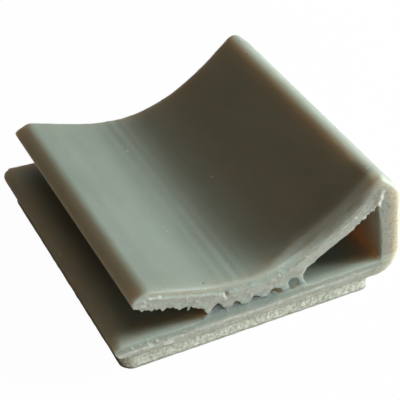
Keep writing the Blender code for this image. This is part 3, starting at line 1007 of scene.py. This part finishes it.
def build_foam(clip):
    """Foam pad from the liner up to the base plate, with a cellular cut edge."""
    grain = Grain(41)
    plan = Outline(rim_loop("foam_tape", 2), FOAM_STEP)
    x, y = plan.points.T
    left, front = plan.points.min(0)
    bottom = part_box("release_liner")[1].z
    hidden = (1 - ease(x, left, left + 1 * MM)) * ease(y, front + 1 * MM, front + 2 * MM)
    pad = Shell()
    for level in np.linspace(0.0, 1.0, FOAM_LEVELS):
        z = bottom + (clip.underside(x) - bottom) * level
        cells = 0.028 * MM * grain.rough(2, x / (0.26 * MM), y / (0.26 * MM), z / (0.22 * MM))
        hollows = grain(x / (0.5 * MM) + 9, y / (0.5 * MM), z / (0.4 * MM)) + 0.35
        pits = 0.12 * MM * np.minimum(hollows, 0)
        rounded = 0.05 * MM * (bell(level, 0.08) + bell(1 - level, 0.08))
        out = (cells + pits) * (1 - hidden) - FOAM_TUCK * hidden - rounded
        pad.add_ring(np.column_stack([plan.points + plan.normals * out[:, None], z]), level=level)
    for upper in (False, True):
        inner, triangles = fill(pad.rings[-1 if upper else 0][:, :2], HIDDEN_STEP, 3)
        z = clip.underside(inner[:, 0]) if upper else np.full(len(inner), bottom)
        pad.fill_end(upper, np.column_stack([inner, z]), triangles, level=float(upper))
    return pad.make_piece("foam_pad", [foam_material()])


def build_liner():
    """Release paper with a slightly ragged cut edge."""
    low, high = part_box("release_liner")
    plan = Outline(rim_loop("release_liner", 2), LINER_STEP)
    frayed = 0.018 * MM * Grain(57).rough(3, plan.along / (0.6 * MM), 0.0)
    sheet = Shell()
    for level, bulge in LINER_EDGE:
        flat = plan.points + plan.normals * (frayed + bulge * MM)[:, None]
        z = low.z + (high.z - low.z) * level
        sheet.add_ring(np.column_stack([flat, np.full(len(flat), z)]))
    for upper in (False, True):
        ring = sheet.rings[-1 if upper else 0]
        inner, triangles = fill(ring[:, :2], HIDDEN_STEP, 5)
        sheet.fill_end(upper, np.column_stack([inner, np.full(len(inner), ring[0, 2])]), triangles)
    return sheet.make_piece("paper_liner", [liner_material()])


# The studio

LAMP_DISTANCE = 0.3
LAMP_TARGET = Vector((0.0, 0.0, 4 * MM))


def build_floor():
    """Pale floor whose colour stays white to the camera and which keeps a soft shadow."""
    bpy.ops.mesh.primitive_plane_add(size=3.0, location=(0.0, 0.0, -0.02 * MM))
    floor = bpy.context.object
    floor.name = "floor"
    g = Graph("floor_white")
    rays = g.add("LightPath").outputs
    colour = g.mix(rays["Is Camera Ray"], (0.66, 0.62, 0.55), (0.92, 0.92, 0.92))
    g.set(Base_Color=colour, Roughness=0.8, Specular_IOR_Level=0.1)
    glow = g.add("Emission", {"Color": (1.0, 1.0, 1.0, 1.0), "Strength": 1.0}).outputs[0]
    share = g.math("MULTIPLY", rays["Is Camera Ray"], 0.98)
    both = g.add("MixShader", {0: share, 1: g.shader.outputs[0], 2: glow}).outputs[0]
    g.tree.links.new(both, g.output.inputs["Surface"])
    floor.data.materials.append(g.material)


def add_lamp(name, bearing, elevation, size, level, colour):
    """Soft lamp aimed at the part. Bearing 0 is +X, 90 is +Y, and level 1 shows a surface as it is."""
    turn = Matrix.Rotation(math.radians(bearing), 3, "Z") @ Matrix.Rotation(-math.radians(elevation), 3, "Y")
    away = turn @ Vector((1.0, 0.0, 0.0))
    light = bpy.data.lights.new(name, "AREA")
    light.shape = "RECTANGLE"
    light.size, light.size_y = size
    light.energy = level * (math.pi * LAMP_DISTANCE) ** 2
    light.color = colour
    lamp = bpy.data.objects.new(name, light)
    lamp.location = LAMP_TARGET + away * LAMP_DISTANCE
    lamp.rotation_euler = away.to_track_quat("Z", "Y").to_euler()
    lamp.visible_camera = False
    bpy.context.scene.collection.objects.link(lamp)


def build_studio():
    """Key low on the right, a weak fill behind it, two strips near the floor, and a warm lamp above."""
    add_lamp("key", -15, 27, (0.08, 0.08), 1.10, (0.885, 1.0, 1.0))
    add_lamp("front", -62, 2.5, (0.30, 0.03), 0.34, (0.94, 1.0, 0.99))
    add_lamp("side", 34, 28, (0.20, 0.15), 0.13, (0.95, 1.0, 1.0))
    add_lamp("rim", 8, 3, (0.15, 0.03), 0.32, (0.92, 1.0, 0.98))
    add_lamp("top", 0, 86, (0.20, 0.20), 0.17, (1.0, 0.76, 0.54))
    world = bpy.data.worlds.new("sky")
    world.use_nodes = True
    tree = world.node_tree
    sky = tree.nodes["Background"]
    sky.inputs["Color"].default_value = (1.0, 0.64, 0.44, 1.0)
    sky.inputs["Strength"].default_value = 0.045
    white = tree.nodes.new("ShaderNodeBackground")
    white.inputs["Color"].default_value = (1.0, 1.0, 1.0, 1.0)
    white.inputs["Strength"].default_value = 1.0
    rays = tree.nodes.new("ShaderNodeLightPath")
    choose = tree.nodes.new("ShaderNodeMixShader")
    tree.links.new(rays.outputs["Is Camera Ray"], choose.inputs[0])
    tree.links.new(sky.outputs[0], choose.inputs[1])
    tree.links.new(white.outputs[0], choose.inputs[2])
    tree.links.new(choose.outputs[0], tree.nodes["World Output"].inputs["Surface"])
    bpy.context.scene.world = world


def build_camera():
    """Camera at the photograph's place, angle and focal length."""
    data = bpy.data.cameras.new("camera")
    data.sensor_width = SENSOR
    data.lens = FOCAL_PIXELS * SENSOR / PHOTO_SIDE
    data.clip_start, data.clip_end = 0.001, 10.0
    camera = bpy.data.objects.new("camera", data)
    turn = Matrix.Rotation(CAMERA_AZIMUTH, 3, "Z")
    tilt = Matrix.Rotation(math.pi / 2 - CAMERA_ELEVATION, 3, "X")
    roll = Matrix.Rotation(CAMERA_ROLL, 3, "Z")
    camera.rotation_euler = (turn @ tilt @ roll).to_euler()
    camera.location = CAMERA_AT
    bpy.context.scene.collection.objects.link(camera)
    bpy.context.scene.camera = camera


build_camera()
build_floor()
build_studio()

clip = Clip()
body = build_clip(clip)
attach(body, "root")
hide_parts("clip_body")

foam = build_foam(clip)
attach(foam, "root")
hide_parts("foam_tape")

liner = build_liner()
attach(liner, "root")
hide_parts("release_liner")

bpy.context.scene.view_settings.view_transform = "Standard"
